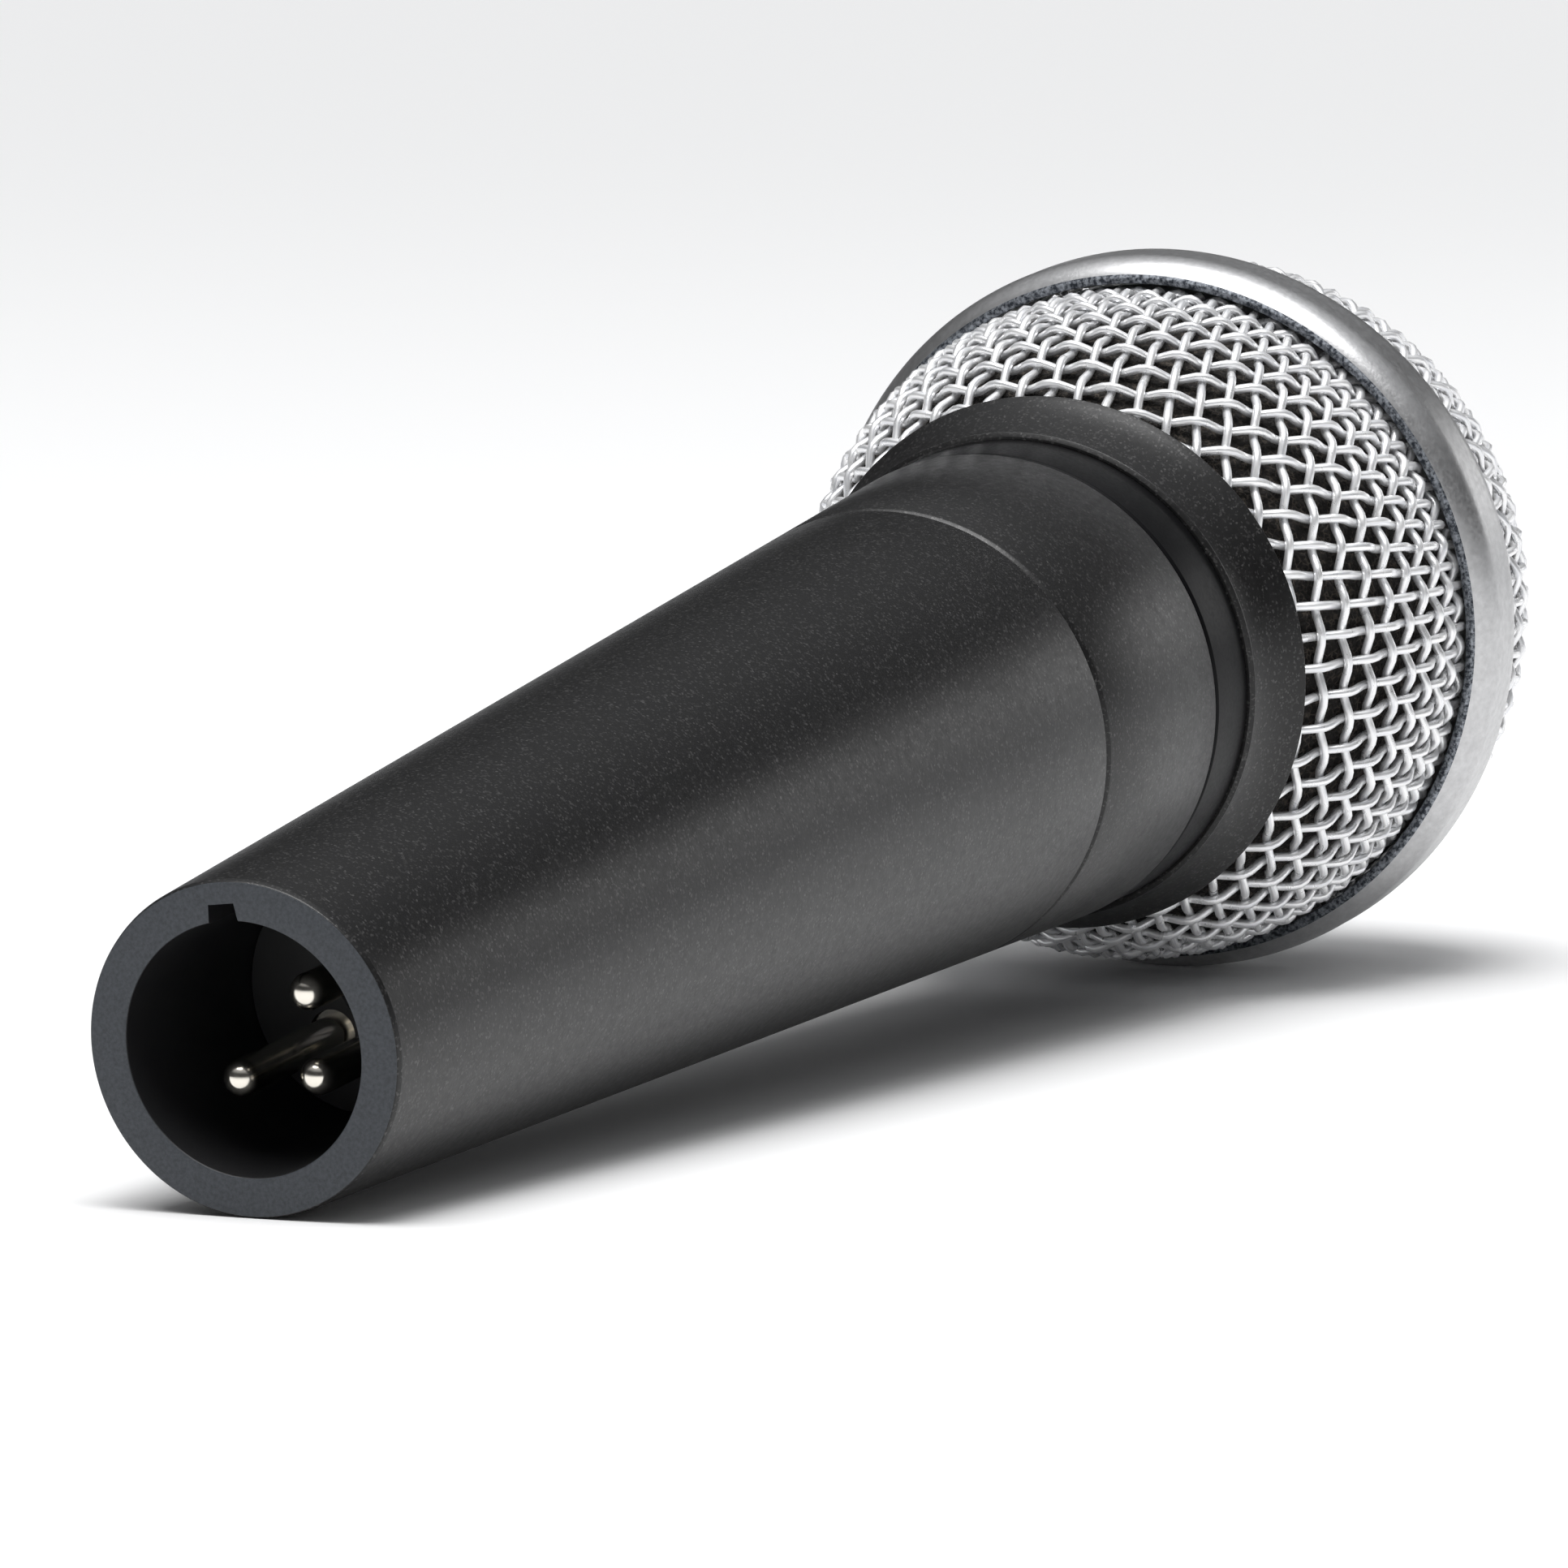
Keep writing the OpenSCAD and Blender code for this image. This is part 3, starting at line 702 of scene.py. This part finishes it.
def waist_band(plate, lip_shade_paint):
    roll = [(BAND_R - BAND_ROUND_R + BAND_ROUND_R * math.cos(math.radians(a)),
             BAND_MID_Z + BAND_ROUND_R * math.sin(math.radians(a))) for a in range(-54, 1, 6)]
    front = arc((BAND_R, BAND_MID_Z + 2), (DOME_R + 0.15, DOME_Z + 0.4), 0.35, 8)
    outline = [
        (LIP_R, BAND_Z + 0.5), (LIP_R + 0.02, BAND_Z + 0.1, 0.1), (LIP_R + 0.45, BAND_Z, 0.1),
        *roll, (BAND_R, BAND_MID_Z + 1.2), *front[:-1], (*front[-1], 0.08),
        (DOME_R + 0.04, DOME_Z + 0.35), (DOME_R + 0.04, BAND_Z + 4.6), (LIP_R, BAND_Z + 4.4)]
    piece = turned("waist_band_turned", outline, segments=256)
    settle(piece, "waist_band", [plate, lip_shade_paint])
    back_home = LAID.inverted()
    for face, height in zip(piece.data.polygons, along_axis(piece.data)):
        middle = back_home @ face.center
        if height < BAND_Z + 0.6 and math.hypot(middle.x, middle.y) < LIP_R + 0.6:
            # The rear lip's faces take the lip finish with its painted shade.
            face.material_index = 1


def bowl_outline(inset, steps=24):
    return arc((BOWL_FOOT[0] - inset, BOWL_FOOT[1]), (BOWL_TOP[0] - inset, BOWL_TOP[1]),
               BOWL_RISE, steps)


def dome_outline(inset, steps=24):
    """From the middle of the front to the band."""
    turns = [math.pi / 2 * i / steps for i in range(steps)]
    return [*[((DOME_R - inset) * math.sin(a) ** DOME_POWER,
               DOME_Z + (TOP_Z - DOME_Z - inset) * math.cos(a) ** DOME_POWER) for a in turns],
            (DOME_R - inset, DOME_Z)]


def pressed_net(path, end, cells, tight=0.75, shear=0.3, rounds=900, step=0.15):
    """Crossings of a flat square net of wires after it is pressed over a round surface.

    path holds the surface's (radius, height) points from the axis outwards, and the rim of the
    net is held at its end. The net starts as a flat disc of that many cells from the middle to
    the rim, and its wires, which pull a little, even it out. Returns each crossing's distance
    along the path, its turn, and which crossings exist."""
    path = np.array(path)
    length = np.concatenate([[0], np.cumsum(np.hypot(*np.diff(path, axis=0).T))])
    slope = np.gradient(path, length, axis=0)
    index = np.arange(-math.ceil(cells), math.ceil(cells) + 1)
    across, up = np.meshgrid(index, index, indexing="ij")
    far, turn = np.hypot(across, up), np.arctan2(up, across)
    used = far <= cells + 0.01
    inside = used.copy()
    for shift in (-1, 1):
        for axis in (0, 1):
            inside &= np.roll(used, shift, axis)
    pitch = end / cells
    out = far * pitch
    moving = inside & (far > 0)
    links = [((1, 0), 1.0), ((0, 1), 1.0), ((1, 1), shear), ((1, -1), shear)]
    for _ in range(rounds):
        radius = np.maximum(np.interp(out, length, path[:, 0]), 1e-6)
        height = np.interp(out, length, path[:, 1])
        place = np.stack([radius * np.cos(turn), radius * np.sin(turn), height], -1)
        pull = np.zeros_like(place)
        for (di, dj), stiff in links:
            rest = tight * pitch * math.hypot(di, dj)
            a = (slice(None, -di or None), slice(-dj if dj < 0 else 0, -dj if dj > 0 else None))
            b = (slice(di, None), slice(dj if dj > 0 else 0, dj if dj < 0 else None))
            both = (used[a] & used[b])[..., None]
            gap = place[b] - place[a]
            size = np.linalg.norm(gap, axis=-1, keepdims=True)
            force = both * stiff * gap * (1 - rest / np.maximum(size, 1e-6))
            pull[a] += force
            pull[b] -= force
        rise_r = np.interp(out, length, slope[:, 0])
        rise_z = np.interp(out, length, slope[:, 1])
        outward = (pull[..., 0] * np.cos(turn) + pull[..., 1] * np.sin(turn)) * rise_r \
            + pull[..., 2] * rise_z
        sideways = -pull[..., 0] * np.sin(turn) + pull[..., 1] * np.cos(turn)
        out = np.where(moving, np.clip(out + step * outward, 0.4 * pitch, length[-1]), out)
        turn = np.where(far > 0, turn + step * sideways / radius, turn)
    return length, slope, out, turn, used


def wire_runs(path, facing, first, last, end, cells):
    """Every wire of a pressed net as runs of (place, outward, lift, along) between two distances
    along the path, so that the cut ends are hidden under the metal that holds the cloth."""
    path = np.array(path)
    length, slope, out, turn, used = pressed_net(path, end, cells)
    count = out.shape[0]

    def spot(x, y):
        s, a = math.hypot(x, y), math.atan2(y, x)
        r, z = np.interp(s, length, path[:, 0]), np.interp(s, length, path[:, 1])
        dr, dz = np.interp(s, length, slope[:, 0]), np.interp(s, length, slope[:, 1])
        size = math.hypot(dr, dz) * facing
        return ((r * math.cos(a), r * math.sin(a), z),
                (dz * math.cos(a) / size, dz * math.sin(a) / size, -dr / size))

    runs = []
    for family in (0, 1):
        for i in range(count):
            line = []
            for j in range(count):
                at = (i, j) if family == 0 else (j, i)
                if used[at]:
                    lift = 1 if (i + j + family) % 2 else -1
                    line.append((out[at] * math.cos(turn[at]), out[at] * math.sin(turn[at]), lift,
                                 out[at]))
            run, passed = [], DRAWN_LINES_APART * len(runs)
            for before, after in zip(line, line[1:]):
                marks = [0.0, 1.0]
                for limit in (first, last):
                    if (before[3] - limit) * (after[3] - limit) < 0:
                        marks.append((limit - before[3]) / (after[3] - before[3]))
                marks.sort()
                for low, high in zip(marks, marks[1:]):
                    middle = before[3] + (after[3] - before[3]) * (low + high) / 2
                    if not first < middle < last:
                        if run:
                            runs.append(run)
                            run = []
                        continue
                    for t in ((low, high) if not run else (high,)):
                        x, y, lift = (before[k] + (after[k] - before[k]) * t for k in range(3))
                        place, outward = spot(x, y)
                        run.append((place, outward, lift, passed + t * WIRE_STEP))
                passed += WIRE_STEP
            if run:
                runs.append(run)
    return [run for run in runs if len(run) > 1]


def wire_tree():
    """Geometry Nodes: crimps each run of wire over and under, and gives it its round section."""
    tree = bpy.data.node_groups.new("crimped_wire", "GeometryNodeTree")
    sockets = {}
    tree.interface.new_socket("Geometry", in_out="INPUT", socket_type="NodeSocketGeometry")
    for name, kind, start in (("Wire Diameter", "NodeSocketFloat", WIRE_D),
                              ("Crimp Height", "NodeSocketFloat", CRIMP),
                              ("Steps Between Crossings", "NodeSocketInt", CRIMP_STEPS),
                              ("Sides", "NodeSocketInt", WIRE_SIDES),
                              ("Finish", "NodeSocketMaterial", None)):
        socket = tree.interface.new_socket(name, in_out="INPUT", socket_type=kind)
        if start is not None:
            socket.default_value = start
        sockets[name] = socket.identifier
    tree.interface.new_socket("Geometry", in_out="OUTPUT", socket_type="NodeSocketGeometry")
    enter, leave = tree.nodes.new("NodeGroupInput"), tree.nodes.new("NodeGroupOutput")

    def step(kind, inputs=(), **settings):
        new = tree.nodes.new(kind)
        for key, value in settings.items():
            setattr(new, key, value)
        for key, value in dict(inputs).items():
            if isinstance(value, bpy.types.NodeSocket):
                tree.links.new(value, new.inputs[key])
            else:
                new.inputs[key].default_value = value
        return new

    line = step("GeometryNodeMeshToCurve", {"Mesh": enter.outputs["Geometry"]})
    fine = step("GeometryNodeSubdivideCurve", {"Curve": line.outputs["Curve"],
                                               "Cuts": enter.outputs["Steps Between Crossings"]})
    outward = step("GeometryNodeInputNamedAttribute", {"Name": "outward"},
                   data_type="FLOAT_VECTOR").outputs["Attribute"]
    lift = step("GeometryNodeInputNamedAttribute", {"Name": "lift"},
                data_type="FLOAT").outputs["Attribute"]
    quarter = step("ShaderNodeMath", {0: lift, 1: math.pi / 2}, operation="MULTIPLY")
    wave = step("ShaderNodeMath", {0: quarter.outputs[0]}, operation="SINE")
    height = step("ShaderNodeMath", {0: wave.outputs[0], 1: enter.outputs["Crimp Height"]},
                  operation="MULTIPLY")
    offset = step("ShaderNodeVectorMath", {0: outward, "Scale": height.outputs[0]},
                  operation="SCALE")
    crimped = step("GeometryNodeSetPosition", {"Geometry": fine.outputs["Curve"],
                                               "Offset": offset.outputs["Vector"]})
    half = step("ShaderNodeMath", {0: enter.outputs["Wire Diameter"], 1: 0.5},
                operation="MULTIPLY")
    ring = step("GeometryNodeCurvePrimitiveCircle", {"Resolution": enter.outputs["Sides"],
                                                     "Radius": half.outputs[0]})
    factor = step("GeometryNodeSplineParameter")
    marked = step("GeometryNodeStoreNamedAttribute",
                  {"Geometry": ring.outputs["Curve"], "Name": "around",
                   "Value": factor.outputs["Factor"]}, data_type="FLOAT", domain="POINT")
    tube = step("GeometryNodeCurveToMesh", {"Curve": crimped.outputs["Geometry"],
                                            "Profile Curve": marked.outputs["Geometry"],
                                            "Fill Caps": True})
    smooth = step("GeometryNodeSetShadeSmooth", {"Geometry": tube.outputs["Mesh"]})
    real = step("GeometryNodeRealizeInstances", {"Geometry": smooth.outputs["Geometry"]})
    coated = step("GeometryNodeSetMaterial", {"Geometry": real.outputs["Geometry"],
                                              "Material": enter.outputs["Finish"]})
    tree.links.new(coated.outputs["Geometry"], leave.inputs["Geometry"])
    return tree, sockets


def wire_cloth(name, node_name, runs, tree, sockets, plate):
    """One pressed cloth of crimped wires, from its runs."""
    mesh = bpy.data.meshes.new(name)
    places, edges = [], []
    for run in runs:
        edges += [(len(places) + k, len(places) + k + 1) for k in range(len(run) - 1)]
        places += run
    mesh.from_pydata([p[0] for p in places], edges, [])
    mesh.attributes.new("outward", "FLOAT_VECTOR", "POINT").data.foreach_set(
        "vector", [value for p in places for value in p[1]])
    for column, attribute in ((2, "lift"), (3, "along")):
        mesh.attributes.new(attribute, "FLOAT", "POINT").data.foreach_set(
            "value", [p[column] for p in places])
    piece = link_mesh(name, mesh)
    wires = piece.modifiers.new("wires", "NODES")
    wires.node_group = tree
    wires[sockets["Wire Diameter"]] = WIRE_D
    wires[sockets["Crimp Height"]] = CRIMP
    wires[sockets["Steps Between Crossings"]] = CRIMP_STEPS
    wires[sockets["Sides"]] = WIRE_SIDES
    wires[sockets["Finish"]] = plate
    piece = frozen(piece)
    piece.data.transform(LAID)
    turn_outwards(piece.data)
    settle(piece, node_name, plate)


def turn_outwards(mesh):
    work = bmesh.new()
    work.from_mesh(mesh)
    bmesh.ops.recalc_face_normals(work, faces=work.faces)
    work.to_mesh(mesh)
    work.free()


def foam_lining(name, node_name, outer, inner, foam, segments=240):
    """A foam lining with its torn open cells: the outer face is roughened, the inner is smooth."""
    def roughened(radius, height, turn):
        rough = np.array([noise.noise(Vector((r * math.cos(a), r * math.sin(a), z)) * 1.6)
                          + 0.5 * noise.noise(Vector((r * math.cos(a), r * math.sin(a), z)) * 4.1)
                          for r, z, a in zip(radius, height, turn)])
        return radius + 0.16 * rough, height + 0.1 * rough

    outline = [(r, z) for r, z in outer] + [(r, z) for r, z in reversed(inner)]
    piece = turned(name, outline, segments=segments, ripple=roughened, sharp=180)
    settle(piece, node_name, foam)


def cap_screen(cloth):
    """The cloth over the capsule's front: a round cut, with its weave standing proud."""
    radius = CAPSULE_R - 1.4
    thread = 0.7
    rows = 44

    def woven(r, z, turn):
        across, up = r * np.cos(turn), r * np.sin(turn)
        weave = np.sin(2 * math.pi * across / thread) * np.sin(2 * math.pi * up / thread)
        return r, z + 0.03 * weave

    outline = [*[(radius * i / rows, CAPSULE_TOP_Z + 0.34) for i in range(rows, -1, -1)],
               *[(radius * i / rows, CAPSULE_TOP_Z + 0.06) for i in range(rows + 1)]]
    piece = turned("cap_screen", outline, segments=180, ripple=woven, sharp=180)
    settle(piece, "cap_cloth", cloth)


# ---- build -------------------------------------------------------------

camera()
studio()

paint = body_paint()
black = bore_black()
plate = nickel_plate()
wire = wire_plate()
foam = grille_foam()
soft = rubber()
steel = turned_metal("pole_steel", (0.5, 0.5, 0.52))
copper = copper_wire()

handle(paint, end_face_painted_light(), black)
contact_pins(plate)
upper_body(paint)
label_band(label_finish())
collar(paint)
waist_band(band_plate(), band_lip_painted_shade())

half_cloth = CLOTH_T / 2
bowl_mid = bowl_outline(half_cloth, 80)
bowl_path = [(0.0, BOWL_FOOT[1]), *[(bowl_mid[0][0] * i / 20, BOWL_FOOT[1]) for i in range(1, 20)],
             *bowl_mid, (bowl_mid[-1][0], BOWL_TOP[1] + 8)]
bowl_first = bowl_mid[0][0] + 0.2
bowl_last = bowl_mid[0][0] + sum(math.dist(a, b) for a, b in zip(bowl_mid, bowl_mid[1:])) - 0.1
tree, sockets = wire_tree()
wire_cloth("rear_wire_cloth", "rear_mesh",
           wire_runs(bowl_path, 1, bowl_first, bowl_last, bowl_last + BOWL_SKIRT, BOWL_CELLS),
           tree, sockets, wire)
dome_mid = dome_outline(half_cloth, 90)
dome_path = [*dome_mid, (dome_mid[-1][0], DOME_Z - 8)]
dome_length = sum(math.dist(a, b) for a, b in zip(dome_mid, dome_mid[1:]))
wire_cloth("front_wire_cloth", "front_mesh",
           wire_runs(dome_path, -1, -1.0, dome_length + DOME_TUCK, dome_length + DOME_SKIRT,
                     DOME_CELLS),
           tree, sockets, wire)

foam_low, foam_high = COLLAR_Z + 0.2, BAND_Z + 0.1
foam_lining("rear_foam_lining", "rear_foam",
            [p for p in bowl_outline(CLOTH_T + FOAM_GAP, 60) if foam_low < p[1] < foam_high],
            [p for p in bowl_outline(CLOTH_T + FOAM_T, 12) if foam_low < p[1] < foam_high], foam)
foam_lining("front_foam_lining", "front_foam",
            [p for p in dome_outline(CLOTH_T + FOAM_GAP, 70) if p[1] > DOME_Z + 1],
            [p for p in dome_outline(CLOTH_T + FOAM_T, 16) if p[1] > DOME_Z + 1], foam)

for name, material in (
        ("xlr_insert", moulded("insert_plastic", (0.012, 0.012, 0.013), 0.42)),
        ("insert_screw", turned_metal("screw_steel", (0.32, 0.32, 0.34), 0.35)),
        ("ground_spring", turned_metal("spring_strip", (0.7, 0.69, 0.66), 0.25)),
        ("connector_leads", moulded("lead_red", (0.5, 0.03, 0.02), 0.35)),
        ("capsule_leads", moulded("lead_blue", (0.03, 0.12, 0.45), 0.35)),
        ("transformer_core", turned_metal("core_iron", (0.25, 0.25, 0.27), 0.5)),
        ("transformer_bobbin", moulded("bobbin_plastic", (0.03, 0.03, 0.03))),
        ("transformer_winding", copper),
        ("transformer_strap", turned_metal("strap_steel", (0.62, 0.62, 0.6), 0.3)),
        ("body_seal", soft), ("shock_mount", soft), ("grille_gasket", soft),
        ("capsule_shell", turned_metal("capsule_alloy", (0.6, 0.6, 0.62), 0.32)),
        ("terminal_board", moulded("board", (0.02, 0.13, 0.05), 0.4)),
        ("pole_cup", steel), ("pole_piece", steel),
        ("magnet", turned_metal("magnet_dark", (0.16, 0.16, 0.18), 0.4)),
        ("voice_coil", copper),
        ("diaphragm", moulded("film", (0.6, 0.56, 0.42), 0.2)),
        ("resonator_cap", moulded("cap_plastic", (0.02, 0.02, 0.021), 0.4)),
        ("grille_washer", moulded("washer_plastic", (0.6, 0.6, 0.57), 0.4)),
        ("band_clamp_ring", turned_metal("ring_steel", (0.5, 0.5, 0.5), 0.35))):
    smooth_copy(name, material)

cap_screen(woven_black())
